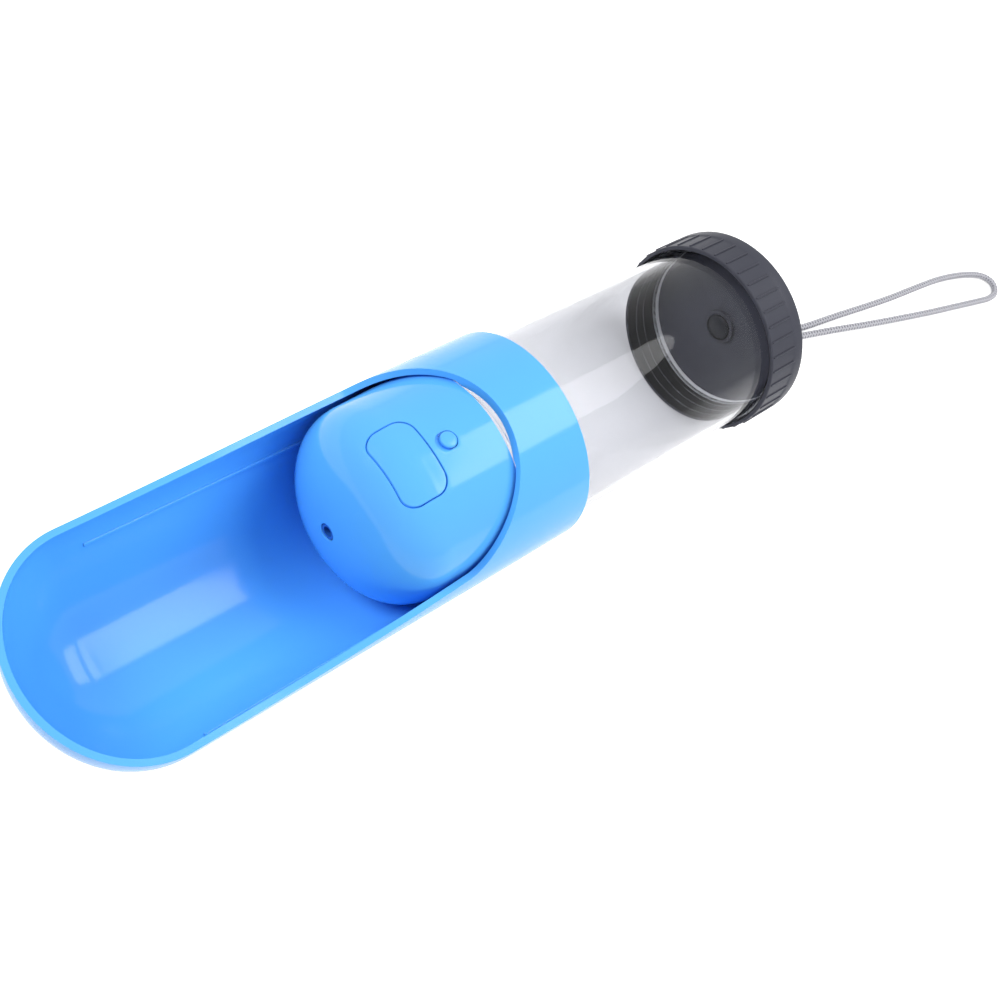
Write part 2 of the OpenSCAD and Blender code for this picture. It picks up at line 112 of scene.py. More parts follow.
# %% [markdown]
# ## Finishes
# Each finish is a Principled shader whose roughness and surface are driven by noise in object
# coordinates, because moulded plastic is never perfectly even: it has a faint ripple from the
# mould and patches that are a little duller.

# %% Helpers for the nodes that the finishes share
RIPPLE_SIZE, GRAIN_SIZE = 0.01, 0.0004
SHINIEST, DULLEST = 0.85, 1.2


def noise(tree, place, scale, detail):
    texture = tree.nodes.new("ShaderNodeTexNoise")
    texture.inputs["Scale"].default_value = scale
    texture.inputs["Detail"].default_value = detail
    tree.links.new(place.outputs["Object"], texture.inputs["Vector"])
    return texture.outputs["Fac"]


def uneven_roughness(tree, shader, fac, least, most):
    spread = tree.nodes.new("ShaderNodeMapRange")
    spread.inputs["To Min"].default_value = least
    spread.inputs["To Max"].default_value = most
    tree.links.new(fac, spread.inputs["Value"])
    tree.links.new(spread.outputs["Result"], shader.inputs["Roughness"])


def bumpy(tree, height, strength, distance):
    bump = tree.nodes.new("ShaderNodeBump")
    bump.inputs["Strength"].default_value = strength
    bump.inputs["Distance"].default_value = distance
    tree.links.new(height, bump.inputs["Height"])
    return bump


def blend(tree, fac, first, second):
    mix = tree.nodes.new("ShaderNodeMix")
    mix.data_type = "RGBA"
    mix.inputs["A"].default_value = (*first, 1)
    mix.inputs["B"].default_value = (*second, 1)
    tree.links.new(fac, mix.inputs["Factor"])
    return mix.outputs["Result"]


# %% Moulded plastic, rubber and steel


def moulded(name, colour, rough, ripple=0.02, grain=0.0, tint=0.03, metal=0.0, gloss=0.5):
    finish = bpy.data.materials.new(name)
    finish.use_nodes = True
    tree = finish.node_tree
    shader = tree.nodes["Principled BSDF"]
    shader.inputs["Metallic"].default_value = metal
    shader.inputs["Specular IOR Level"].default_value = gloss
    place = tree.nodes.new("ShaderNodeTexCoord")
    wide = noise(tree, place, 1 / RIPPLE_SIZE, 2)
    uneven_roughness(tree, shader, wide, rough * SHINIEST, rough * DULLEST)
    darker = [c * (1 - tint) for c in colour]
    lighter = [min(1, c * (1 + tint)) for c in colour]
    tree.links.new(blend(tree, wide, darker, lighter), shader.inputs["Base Color"])
    bump = bumpy(tree, wide, ripple, 0.001)
    last = bump
    if grain:
        last = bumpy(tree, noise(tree, place, 1 / GRAIN_SIZE, 3), grain, 0.0001)
        tree.links.new(bump.outputs["Normal"], last.inputs["Normal"])
    tree.links.new(last.outputs["Normal"], shader.inputs["Normal"])
    return finish


# %% Sums in a shader, and painted shade on a bore, whose colour is darker than the rest of its piece


def sums_in(tree):
    """Gives a function that adds a Math node of one kind and gives its result."""
    def step(kind, *values):
        node = tree.nodes.new("ShaderNodeMath")
        node.operation = kind
        for socket, value in zip(node.inputs, values):
            if isinstance(value, (int, float)):
                socket.default_value = value
            else:
                tree.links.new(value, socket)
        return node.outputs[0]

    return step


def paint_bore_shade(finish, radius, rear, share):
    """Paints shade on the wall of a bore about the bottle's axis, in front of the place x = rear.
    """
    thickness = 0.3 * MM
    tree = finish.node_tree
    base = tree.nodes["Principled BSDF"].inputs["Base Color"]
    whole = base.links[0].from_socket
    place = tree.nodes.new("ShaderNodeTexCoord")
    parts = tree.nodes.new("ShaderNodeSeparateXYZ")
    tree.links.new(place.outputs["Object"], parts.inputs["Vector"])
    step = sums_in(tree)
    up = step("SUBTRACT", parts.outputs["Z"], AXIS.z)
    squares = step("ADD", step("MULTIPLY", parts.outputs["Y"], parts.outputs["Y"]),
                   step("MULTIPLY", up, up))
    on_bore = step("COMPARE", step("SQRT", squares), radius * MM, thickness)
    inside = step("MULTIPLY", on_bore, step("LESS_THAN", parts.outputs["X"], rear))
    mix = tree.nodes.new("ShaderNodeMix")
    mix.data_type = "RGBA"
    mix.blend_type = "MULTIPLY"
    mix.inputs["B"].default_value = (share, share, share, 1)
    tree.links.new(inside, mix.inputs["Factor"])
    tree.links.new(whole, mix.inputs["A"])
    tree.links.new(mix.outputs["Result"], base)


# %% The bottle's plastics, rubbers and steel
sky_blue = moulded("sky_blue_plastic", (0.10, 0.44, 0.97), rough=0.12, ripple=0.015, tint=0.02,
                   gloss=0.33)
deep_blue = moulded("deep_blue_plastic", (0.02, 0.12, 0.50), rough=0.25, grain=0.2)
charcoal = moulded("charcoal_plastic", (0.056, 0.058, 0.074), rough=0.3, tint=0.06, gloss=0.08)
black_gloss = moulded("black_gloss", (0.012, 0.013, 0.018), rough=0.08, ripple=0.01, gloss=0.2)
white_plastic = moulded("white_plastic", (0.78, 0.80, 0.82), rough=0.35, grain=0.2)
silicone = moulded("clear_silicone", (0.74, 0.76, 0.78), rough=0.45, grain=0.2)
black_rubber = moulded("black_rubber", (0.02, 0.02, 0.024), rough=0.6, grain=0.5)
steel = moulded("steel", (0.58, 0.59, 0.61), rough=0.28, grain=0.3, metal=1.0)
print("moulded finishes and steel:", len(bpy.data.materials))

# %% [markdown]
# The tube is clear. A Principled shader with full transmission bends what is behind it, but a
# lamp's light would stop at its wall, so rays on their way to a lamp meet a Transparent shader.
# Real plastic has an index of refraction of 1.5. It is lower here, because then the tube's
# reflections are weaker and the inside of the cap can be seen through it.

# %% Clear plastic
CLEAR_IOR, PAST_A_WALL = 1.22, 0.93


def clear_plastic(name, colour, rough):
    finish = bpy.data.materials.new(name)
    finish.use_nodes = True
    tree = finish.node_tree
    shader = tree.nodes["Principled BSDF"]
    shader.inputs["Base Color"].default_value = (*colour, 1)
    shader.inputs["Transmission Weight"].default_value = 1
    shader.inputs["IOR"].default_value = CLEAR_IOR
    place = tree.nodes.new("ShaderNodeTexCoord")
    wave = noise(tree, place, 60, 2)
    uneven_roughness(tree, shader, wave, rough * 0.5, rough * 1.5)
    tree.links.new(bumpy(tree, wave, 0.02, 0.001).outputs["Normal"], shader.inputs["Normal"])
    rays = tree.nodes.new("ShaderNodeLightPath")
    open_way = tree.nodes.new("ShaderNodeBsdfTransparent")
    open_way.inputs["Color"].default_value = (PAST_A_WALL, PAST_A_WALL, PAST_A_WALL, 1)
    either = tree.nodes.new("ShaderNodeMixShader")
    tree.links.new(rays.outputs["Is Shadow Ray"], either.inputs["Fac"])
    tree.links.new(shader.outputs["BSDF"], either.inputs[1])
    tree.links.new(open_way.outputs["BSDF"], either.inputs[2])
    tree.links.new(either.outputs["Shader"], tree.nodes["Material Output"].inputs["Surface"])
    return finish


clear = clear_plastic("clear_plastic", (0.72, 0.725, 0.75), rough=0.01)
print("with clear plastic:", len(bpy.data.materials))

# %% [markdown]
# ## Making a piece from a bmesh
# Every new piece goes through the same last steps: its faces are shaded smooth, it gets its
# finish, it rides on the body that it belongs to, and the CAD node that it stands for is hidden.

# %% A helper for finished pieces


def new_piece(bm, name, finish, body, stands_for=None):
    mesh = bpy.data.meshes.new(name)
    bm.to_mesh(mesh)
    bm.free()
    mesh.shade_smooth()
    mesh.materials.append(finish)
    piece = bpy.data.objects.new(name, mesh)
    scene.collection.objects.link(piece)
    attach(piece, body)
    if stands_for:
        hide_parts(stands_for)
    print(name, len(mesh.polygons), "faces")
    return piece


def even_shading(piece):
    piece.modifiers.new("even_shading", "WEIGHTED_NORMAL").weight = 60


def soften(piece, width, segments=3):
    """Rounds a piece's sharp edges by a width in millimetres."""
    bevel = piece.modifiers.new("soft_edges", "BEVEL")
    bevel.width = width * MM
    bevel.segments = segments
    bevel.limit_method = "ANGLE"
    bevel.angle_limit = math.radians(40)
    even_shading(piece)


# %% A helper for pieces that are round about the axis


def spin_profile(profile, steps, closed=True):
    """A new bmesh: a line of (station, radius) points turned about the bottle's axis."""
    bm = bmesh.new()
    line = [bm.verts.new(spot(u, 0, r)) for u, r in profile]
    edges = [bm.edges.new(pair) for pair in zip(line, line[1:])]
    if closed:
        edges.append(bm.edges.new((line[-1], line[0])))
    bmesh.ops.spin(bm, geom=line + edges, cent=AXIS, axis=(1, 0, 0), dvec=(0, 0, 0),
                   angle=2 * math.pi, steps=steps, use_merge=True, use_duplicate=False)
    bmesh.ops.remove_doubles(bm, verts=bm.verts, dist=1e-6)
    bmesh.ops.recalc_face_normals(bm, faces=bm.faces)
    return bm


# %% [markdown]
# ## Braided cord
# The carrying loop is a thin elastic cord with a braided cover. It leaves the cap's hole, drops
# to the ground and lies there in one long loop. A curve through a few points is the natural way
# to lay it; it is then swept into a tube whose UV map runs along and round the cord, so that
# the braid can follow it.

# %% The loop's route
CAP_REAR_X = 138.15
CORD_D = 2.8
cord_route = [
    (-1.15, 1.5, 34.6), (4, 1.5, 34.6), (10, 1.1, 33.8), (17, 0.3, 30.6), (25, -1, 24.2),
    (33, -2.4, 16.8), (42, -4, 10), (51, -5.6, 5), (61, -7.4, 2.2), (73, -9.4, 1.5),
    (92, -11.8, 1.5), (112, -14.6, 1.5), (128, -16.6, 1.5), (144, -18.1, 1.5),
    (160, -19.8, 1.5), (173, -22.4, 1.5), (183, -25.6, 1.5), (189.5, -29.2, 1.5),
    (192, -34, 1.5), (189, -38.4, 1.5), (183, -39.3, 1.5), (174, -37.6, 1.5),
    (160, -34.6, 1.5), (142, -30.7, 1.5), (123, -26.2, 1.5), (104, -21.5, 1.5),
    (87, -17, 1.5), (71, -13, 1.5), (59.5, -10.5, 2.2), (49.5, -8.6, 5), (40.5, -7, 10),
    (31.5, -5.4, 16.8), (23.5, -4, 24.2), (16, -2.9, 30.6), (9.5, -2, 33.8), (4, -1.5, 34.6),
    (-1.15, -1.5, 34.6)]
CORD_STEPS = 6


def cord_point(i, t):
    a, b, c, d = (Vector(cord_route[min(max(k, 0), len(cord_route) - 1)])
                  for k in (i - 1, i, i + 1, i + 2))
    return (b + (c - a) * (t / 2) + (a - 2.5 * b + 2 * c - 0.5 * d) * t * t
            + (3 * b - a - 3 * c + d) * (t * t * t / 2))


cord_line = [cord_point(i, s / CORD_STEPS) for i in range(len(cord_route) - 1)
             for s in range(CORD_STEPS)] + [Vector(cord_route[-1])]
cord_line = [(p + Vector((CAP_REAR_X, 0, 0))) * MM for p in cord_line]

# %% Braid material, with painted shade in its creases
VALLEY, LOWEST, HIGHEST = -0.35, -0.6, 1.1


def braided(name, colour, shade, strands, pitch):
    finish = bpy.data.materials.new(name)
    finish.use_nodes = True
    tree = finish.node_tree
    shader = tree.nodes["Principled BSDF"]
    shader.inputs["Sheen Weight"].default_value = 0.3
    shader.inputs["Specular IOR Level"].default_value = 0.6
    shader.inputs["Roughness"].default_value = 0.42
    uv = tree.nodes.new("ShaderNodeUVMap")
    uv.uv_map = "along_and_round"
    parts = tree.nodes.new("ShaderNodeSeparateXYZ")
    tree.links.new(uv.outputs["UV"], parts.inputs["Vector"])
    step = sums_in(tree)
    along = step("MULTIPLY", parts.outputs["X"], 2 * math.pi / pitch)
    round_ = step("MULTIPLY", parts.outputs["Y"], 2 * math.pi * strands)
    one_way = step("SINE", step("ADD", along, round_))
    other_way = step("SINE", step("SUBTRACT", along, round_))
    weave = step("MAXIMUM", one_way, other_way)
    valley = step("MULTIPLY", one_way, other_way)
    lift = step("ADD", weave, step("MULTIPLY", valley, VALLEY))
    share = tree.nodes.new("ShaderNodeMapRange")
    share.inputs["From Min"].default_value = LOWEST
    share.inputs["From Max"].default_value = HIGHEST
    tree.links.new(lift, share.inputs["Value"])
    # The braid's pattern is also drawn in the colour: the low places between the strands take the
    # darker colour, as painted shade in its creases.
    tree.links.new(blend(tree, share.outputs["Result"], shade, colour),
                   shader.inputs["Base Color"])
    tree.links.new(bumpy(tree, lift, 0.8, 0.0002).outputs["Normal"], shader.inputs["Normal"])
    return finish


# The second colour is the painted shade for the braid's creases.
grey_braid = braided("grey_braid", (0.52, 0.52, 0.57), (0.10, 0.10, 0.13), strands=3,
                     pitch=0.0016)

# %% Rings of points along the cord
CORD_SIDES = 12
bm = bmesh.new()
uv_layer = bm.loops.layers.uv.new("along_and_round")
cord_rings = []
for i, point in enumerate(cord_line):
    way = (cord_line[min(i + 1, len(cord_line) - 1)] - cord_line[max(i - 1, 0)]).normalized()
    side = way.cross(Vector((0, 0, 1))).normalized()
    up = side.cross(way)
    circle = bmesh.ops.create_circle(bm, segments=CORD_SIDES, radius=CORD_D / 2 * MM)["verts"]
    for v in circle:
        v.co = point + side * v.co.x + up * v.co.y
    cord_rings.append(circle)
print(len(cord_rings), "rings")

# %% The cord's skin between the rings
bm.verts.index_update()
run = 0.0
for i in range(len(cord_rings) - 1):
    step_length = (cord_line[i + 1] - cord_line[i]).length
    for k in range(CORD_SIDES):
        n = (k + 1) % CORD_SIDES
        face = bm.faces.new((cord_rings[i][k], cord_rings[i][n], cord_rings[i + 1][n],
                             cord_rings[i + 1][k]))
        for loop, (a, r) in zip(face.loops, ((0, k), (0, k + 1), (1, k + 1), (1, k))):
            loop[uv_layer].uv = (run + a * step_length, r / CORD_SIDES)
    run += step_length
for ring in (cord_rings[0], cord_rings[-1]):
    bm.faces.new(ring)
bmesh.ops.recalc_face_normals(bm, faces=bm.faces)
lanyard = new_piece(bm, "lanyard", grey_braid, "cap", "lanyard_cord")

# %% [markdown]
# ## Sleeve
# The sleeve is one moulding: a closed collar, an arch and a half tube with a round end. Its
# outer and inner walls are two grids laid over the same stations. Each row of a grid ends at
# the sleeve's edge, whose height is a function of the station, so the rim is smooth and the
# two walls can be bridged along it and then rounded.

# %% The sleeve's sizes
COLLAR_R, END_R, WALL = 35.0, 34.6, 2.0
GUIDE_R, STOP_AT = 31.9, 24.9
COLLAR_LEN, ARCH_LEN, ARCH_HALF = 22.5, 25.0, 34.0
ARCH_FOOT = COLLAR_LEN + ARCH_LEN
END_START, END_LEN = 138.0, 30.0
TIP = END_START + END_LEN
FOOT_H = math.sqrt(COLLAR_R ** 2 - ARCH_HALF ** 2)
TIP_H, RIM_CURVE, GUIDE_SLOPE = 0.5, 2.5, 2
print("sleeve", COLLAR_LEN + ARCH_LEN, "to the arch's foot and", TIP, "to its tip")


def rim_height(u):
    return TIP_H + (FOOT_H - TIP_H) * max(0, (TIP - u) / (TIP - ARCH_FOOT)) ** RIM_CURVE


def outer_wall(u):
    return COLLAR_R + (END_R - COLLAR_R) * max(0, u - COLLAR_LEN) / (END_START - COLLAR_LEN)


def inner_wall(u):
    if u < STOP_AT:
        return GUIDE_R
    bore = COLLAR_R - WALL
    return min(GUIDE_R + (u - STOP_AT) * GUIDE_SLOPE,
               bore + (END_R - COLLAR_R) * (u - COLLAR_LEN) / (END_START - COLLAR_LEN))


# %% One wall of the sleeve
HALF_COLUMNS = 56
COLLAR_ROWS, ARCH_ROWS, TROUGH_ROWS, END_ROWS = 8, 40, 30, 72


def sleeve_rows():
    """(station, turn from the top where the wall begins) of each row, collar to round end."""
    rows = [(COLLAR_LEN * k / COLLAR_ROWS, 0) for k in range(COLLAR_ROWS)]
    for k in range(ARCH_ROWS):
        a = math.pi / 2 * k / ARCH_ROWS
        edge = math.sqrt(COLLAR_R ** 2 - (ARCH_HALF * math.sin(a)) ** 2)
        rows.append((ARCH_FOOT - ARCH_LEN * math.cos(a), math.acos(edge / COLLAR_R)))
    for k in range(TROUGH_ROWS + 1):
        u = ARCH_FOOT + (END_START - ARCH_FOOT) * k / TROUGH_ROWS
        rows.append((u, math.acos(rim_height(u) / outer_wall(u))))
    return rows


def sleeve_wall(bm, wall, inset):
    """Adds one wall: a grid over collar, arch and trough, and a second one over the round end."""
    rows = sleeve_rows()
    grid = bmesh.ops.create_grid(bm, x_segments=2 * HALF_COLUMNS, y_segments=len(rows) - 1,
                                 size=1)["verts"]
    for v in grid:
        column = round((v.co.x + 1) * HALF_COLUMNS)
        u, gap = rows[round((v.co.y + 1) / 2 * (len(rows) - 1))]
        r = wall(u)
        a = gap + (math.pi - gap) * column / HALF_COLUMNS
        v.co = spot(u, r * math.sin(a), r * math.cos(a))
    end = bmesh.ops.create_grid(bm, x_segments=HALF_COLUMNS, y_segments=END_ROWS, size=1)["verts"]
    for v in end:
        column = round((v.co.x + 1) / 2 * HALF_COLUMNS)
        turn = math.pi * (0.5 - round((v.co.y + 1) / 2 * END_ROWS) / END_ROWS)
        gap = math.pi / 2
        for _ in range(6):
            u = END_START + END_LEN * math.sin(gap) * math.cos(turn)
            gap = math.acos(rim_height(u) / END_R)
        a = gap + (math.pi - gap) * column / HALF_COLUMNS
        length, r = END_LEN - inset, END_R - inset
        v.co = spot(END_START + length * math.sin(a) * math.cos(turn),
                    r * math.sin(a) * math.sin(turn), r * math.cos(a))
    bmesh.ops.remove_doubles(bm, verts=grid + end, dist=2e-6)


# %% A helper that rounds chosen edges


def round_edges(bm, edges, width, segments):
    bmesh.ops.bevel(bm, geom=edges, offset=width * MM, offset_type="OFFSET", segments=segments,
                    profile=0.5, affect="EDGES", material=-1, clamp_overlap=True)


# %% Bridge the walls
RIM_ROUND, REAR_ROUND = 0.75, 0.4
bm = bmesh.new()
sleeve_wall(bm, outer_wall, 0)
outer_edges = {e for e in bm.edges if e.is_boundary}
sleeve_wall(bm, inner_wall, WALL)
inner_edges = {e for e in bm.edges if e.is_boundary} - outer_edges


def at_rear(edge):
    return all(station_of(v.co) < 1 for v in edge.verts)


rim = [e for e in outer_edges | inner_edges if not at_rear(e)]
print("rim loops", sum(e in outer_edges for e in rim), sum(e in inner_edges for e in rim))
bmesh.ops.bridge_loops(bm, edges=rim)
end_face = bmesh.ops.extrude_edge_only(bm, edges=[e for e in outer_edges if at_rear(e)])["geom"]
end_ring = [g for g in end_face if isinstance(g, bmesh.types.BMVert)]
bmesh.ops.scale(bm, vec=(1, GUIDE_R / COLLAR_R, GUIDE_R / COLLAR_R), verts=end_ring,
                space=Matrix.Translation(-AXIS))
bmesh.ops.remove_doubles(bm, verts=[v for v in bm.verts if station_of(v.co) < 1], dist=2e-6)
bmesh.ops.recalc_face_normals(bm, faces=bm.faces)
for v in bm.verts:
    v.co.z = max(v.co.z, 0)

# %% Round the rim and the collar's rear edges
round_edges(bm, rim, RIM_ROUND, 4)
rear = [e for e in bm.edges if e.is_manifold and at_rear(e) and e.calc_face_angle() > 1]
round_edges(bm, rear, REAR_ROUND, 3)

# %% Guide rails
RAIL_W, RAIL_FACE, RAIL_FROM, RAIL_TO, RAIL_ROUND = 1.4, 32.1, 23.9, 130.0, 0.25
RAIL_AT = 109


def off_axis(point):
    return (point - spot(station_of(point), 0, 0)).length / MM


for turn in (RAIL_AT, -RAIL_AT):
    a = math.radians(turn)
    deep = Vector((0, math.sin(a), math.cos(a)))
    wide = Vector((0, math.cos(a), -math.sin(a)))
    rail = bmesh.ops.create_cube(bm, size=1)["verts"]
    for v in rail:
        u = RAIL_FROM if v.co.x < 0 else RAIL_TO
        r = RAIL_FACE if v.co.z < 0 else outer_wall(u) - WALL / 2
        v.co = spot(u, 0, 0) + (deep * r + wide * (v.co.y * RAIL_W)) * MM
    long_edges = {e for v in rail for e in v.link_edges
                  if all(off_axis(w.co) < RAIL_FACE + 0.4 for w in e.verts)}
    faces = {f for v in rail for f in v.link_faces}
    bmesh.ops.recalc_face_normals(bm, faces=list(faces))
    round_edges(bm, list(long_edges), RAIL_ROUND, 2)
sleeve = new_piece(bm, "sleeve", sky_blue, "sleeve", "trough_sleeve")
even_shading(sleeve)

# %% [markdown]
# ## Head
# The head is a thin dome on a slightly tapered barrel. Its outer skin is spun from a profile.
# Where the button and the lock knob sit, a block of faces is taken out, and the hole's edge is
# bridged to a ring of points in the opening's own outline, so that the skin flows round it.
# Every point is then put back on the true surface, and a Solidify modifier gives the wall.

# %% The head's profile
HEAD_START, HEAD_R, SHOULDER_R = 25.2, 32.3, 31.4
DOME_START, DOME_LEN, DOME_POWER = 51.3, 21.0, 2.2
OUTLET_R, HEAD_WALL, SEAM_ROUND = 2.8, 2.0, 0.16


def head_radius(u, inset=0.0):
    if u <= DOME_START:
        return HEAD_R - inset - (HEAD_R - SHOULDER_R) * (u - HEAD_START) / (DOME_START - HEAD_START)
    t = min(1.0, (u - DOME_START) / (DOME_LEN - inset))
    return (SHOULDER_R - inset) * (1 - t ** DOME_POWER) ** (1 / DOME_POWER)


def head_station(r):
    return DOME_START + DOME_LEN * (1 - (r / SHOULDER_R) ** DOME_POWER) ** (1 / DOME_POWER)


def head_height(u, side, inset=0.0):
    return math.sqrt(max(0, head_radius(u, inset) ** 2 - side ** 2))


# %% Outlines of the two openings
BUTTON_AT, BUTTON_L, BUTTON_W, BUTTON_CORNER, BUTTON_GAP = 54.7, 14.4, 24.2, 4.5, 0.35
KNOB_AT, KNOB_R, KNOB_TRAVEL, KNOB_GAP = 41.0, 2.6, 1.4, 0.3


def outline_point(way, half_l, half_w, corner):
    """The point of a rounded rectangle in the direction way, seen from its middle."""
    low, high = 0.0, 100.0
    for _ in range(40):
        mid = (low + high) / 2
        a = max(abs(way[0]) * mid - (half_l - corner), 0)
        b = max(abs(way[1]) * mid - (half_w - corner), 0)
        low, high = (mid, high) if math.hypot(a, b) < corner else (low, mid)
    return way[0] * low, way[1] * low


# %% Spin the head's skin
HEAD_COLUMNS, TIP_ROWS = 240, 30
SPLIT_AT, KNOB_HOLE_FROM, BUTTON_HOLE_TO = 46.03, 36.5, 64.0
BUTTON_HALF_TURN, KNOB_HALF_TURN = 33, 9


def spaced(start, end, count):
    return [start + (end - start) * k / count for k in range(count)]


head_rows = (spaced(HEAD_START, KNOB_HOLE_FROM, 6) + spaced(KNOB_HOLE_FROM, SPLIT_AT, 9)
             + spaced(SPLIT_AT, BUTTON_HOLE_TO, 18))
head_profile = [(u, head_radius(u)) for u in head_rows]
tip_r = head_radius(BUTTON_HOLE_TO)
for k in range(TIP_ROWS + 1):
    r = OUTLET_R + (tip_r - OUTLET_R) * (1 - k / TIP_ROWS)
    head_profile.append((head_station(r), r))
bm = spin_profile(head_profile, HEAD_COLUMNS, closed=False)
print("head's skin", len(bm.faces), "faces")


def turn_of(point):
    return math.degrees(math.atan2(point.y, point.z - AXIS.z))


# %% A helper that cuts and refits an opening
NEAR, NEAR_TURN = 0.01, 0.1


def opening(bm, u_from, u_to, half_turn, centre, half_l, half_w, corner):
    """Refits a block of the skin round a rounded outline, and gives the outline's edges."""
    faces = [f for f in bm.faces if u_from < station_of(f.calc_center_median()) < u_to
             and abs(turn_of(f.calc_center_median())) < half_turn]
    bmesh.ops.delete(bm, geom=faces, context="FACES")
    border = [e for e in bm.edges if e.is_boundary
              and all(u_from - NEAR < station_of(v.co) < u_to + NEAR
                      and abs(turn_of(v.co)) < half_turn + NEAR_TURN for v in e.verts)]
    ring = list({v for e in border for v in e.verts})
    ring.sort(key=lambda v: math.atan2(v.co.y / MM, station_of(v.co) - centre))
    loop = bmesh.ops.create_circle(bm, segments=len(ring), radius=1)["verts"]
    for v, old in zip(loop, ring):
        way = (station_of(old.co) - centre, old.co.y / MM)
        du, side = outline_point(way, half_l, half_w, corner)
        v.co = spot(centre + du, side, head_height(centre + du, side))
    loop_edges = list({e for v in loop for e in v.link_edges})
    known = set(bm.edges)
    bmesh.ops.bridge_loops(bm, edges=border + loop_edges)
    spokes = [e for e in bm.edges if e not in known]
    made = bmesh.ops.subdivide_edges(bm, edges=spokes, cuts=2, use_grid_fill=False)
    for v in (g for g in made["geom_inner"] if isinstance(g, bmesh.types.BMVert)):
        u = station_of(v.co)
        v.co = spot(u, v.co.y / MM, head_height(u, v.co.y / MM))
    return loop_edges


# %% The button's and the knob's openings
opening(bm, SPLIT_AT, BUTTON_HOLE_TO, BUTTON_HALF_TURN, BUTTON_AT, BUTTON_L / 2 + BUTTON_GAP,
        BUTTON_W / 2 + BUTTON_GAP, BUTTON_CORNER + BUTTON_GAP)
pocket_r = KNOB_R + KNOB_GAP
knob_edges = opening(bm, KNOB_HOLE_FROM, SPLIT_AT, KNOB_HALF_TURN, KNOB_AT + KNOB_TRAVEL / 2,
                     pocket_r + KNOB_TRAVEL / 2, pocket_r, pocket_r)
print(len(knob_edges), "edges round the knob's pocket")

# %% The knob's pocket
POCKET_DEPTH = 1
KNOB_FLOOR = head_radius(KNOB_AT) - POCKET_DEPTH
pocket = bmesh.ops.extrude_edge_only(bm, edges=knob_edges)["geom"]
pocket_verts = [g for g in pocket if isinstance(g, bmesh.types.BMVert)]
pocket_edges = [g for g in pocket if isinstance(g, bmesh.types.BMEdge)]
for v in pocket_verts:
    v.co.z = (AXIS_Z + KNOB_FLOOR) * MM
bmesh.ops.contextual_create(bm, geom=pocket_edges)
print("pocket's floor at", round(KNOB_FLOOR, 2))

# %% The grooves for the sleeve's rails, and the wall
GROOVE_HALF_TURN, GROOVE_R = 2.3, 31.5
for v in bm.verts:
    if abs(abs(turn_of(v.co)) - RAIL_AT) < GROOVE_HALF_TURN:
        u = station_of(v.co)
        r = min(GROOVE_R, head_radius(u))
        a = math.radians(turn_of(v.co))
        v.co = spot(u, r * math.sin(a), r * math.cos(a))
bmesh.ops.recalc_face_normals(bm, faces=bm.faces)
head = new_piece(bm, "head", sky_blue, "head", "head_shell")
wall = head.modifiers.new("wall", "SOLIDIFY")
wall.thickness = HEAD_WALL * MM
wall.offset = -1
wall.use_even_offset = False
soften(head, SEAM_ROUND)

# %% [markdown]
# ## Press button
# The button's face continues the head's own surface inside a thin gap. Its outline is extruded
# inwards ring by ring over that surface and closed at the middle, then its skirt goes down and
# out, under the shell, which is what keeps it from falling out.

# %% The button's face
BUTTON_POINTS, BUTTON_RINGS = 96, 10
EDGE_ROOM = 0.12
bm = bmesh.new()


def extrude_ring(bm, edges):
    geom = bmesh.ops.extrude_edge_only(bm, edges=edges)["geom"]
    return [g for g in geom if isinstance(g, bmesh.types.BMEdge)]


top = bmesh.ops.create_circle(bm, segments=BUTTON_POINTS, radius=1)["verts"]
top_edges = list({e for v in top for e in v.link_edges})
half_l, half_w = BUTTON_L / 2 - EDGE_ROOM, BUTTON_W / 2 - EDGE_ROOM
for k, v in enumerate(top):
    a = 2 * math.pi * k / BUTTON_POINTS
    way = (math.cos(a) * half_l, math.sin(a) * half_w)
    du, side = outline_point(way, half_l, half_w, BUTTON_CORNER)
    v.co = spot(BUTTON_AT + du, side, head_height(BUTTON_AT + du, side))
edges = top_edges
for k in range(1, BUTTON_RINGS):
    edges = extrude_ring(bm, edges)
    for v in {v for e in edges for v in e.verts}:
        du, side = station_of(v.co) - BUTTON_AT, v.co.y / MM
        shrink = (BUTTON_RINGS - k) / (BUTTON_RINGS - k + 1)
        du, side = du * shrink, side * shrink
        v.co = spot(BUTTON_AT + du, side, head_height(BUTTON_AT + du, side))
bmesh.ops.contextual_create(bm, geom=edges)
print("button's face", len(bm.faces), "faces")

# %% Its skirt and the lip under the shell
SKIRT_DROP, LIP, LIP_T = 2.3, 1.2, 1.2
edges = extrude_ring(bm, top_edges)
for v in {v for e in edges for v in e.verts}:
    u, side = station_of(v.co), v.co.y / MM
    v.co = spot(u, side, head_height(u, side, SKIRT_DROP))
edges = extrude_ring(bm, edges)
for v in {v for e in edges for v in e.verts}:
    way = Vector((station_of(v.co) - BUTTON_AT, v.co.y / MM))
    du, side = outline_point(way, BUTTON_L / 2 + LIP, BUTTON_W / 2 + LIP, BUTTON_CORNER + LIP)
    v.co = spot(BUTTON_AT + du, side, head_height(BUTTON_AT + du, side, SKIRT_DROP))
edges = extrude_ring(bm, edges)
for v in {v for e in edges for v in e.verts}:
    v.co.z -= LIP_T * MM
bmesh.ops.contextual_create(bm, geom=edges)
bmesh.ops.recalc_face_normals(bm, faces=bm.faces)
button = new_piece(bm, "button", sky_blue, "button", "press_button")
soften(button, SEAM_ROUND)

# %% [markdown]
# ## Lock knob
# A small round knob in a shallow pocket, spun from a profile about its own upright axis.

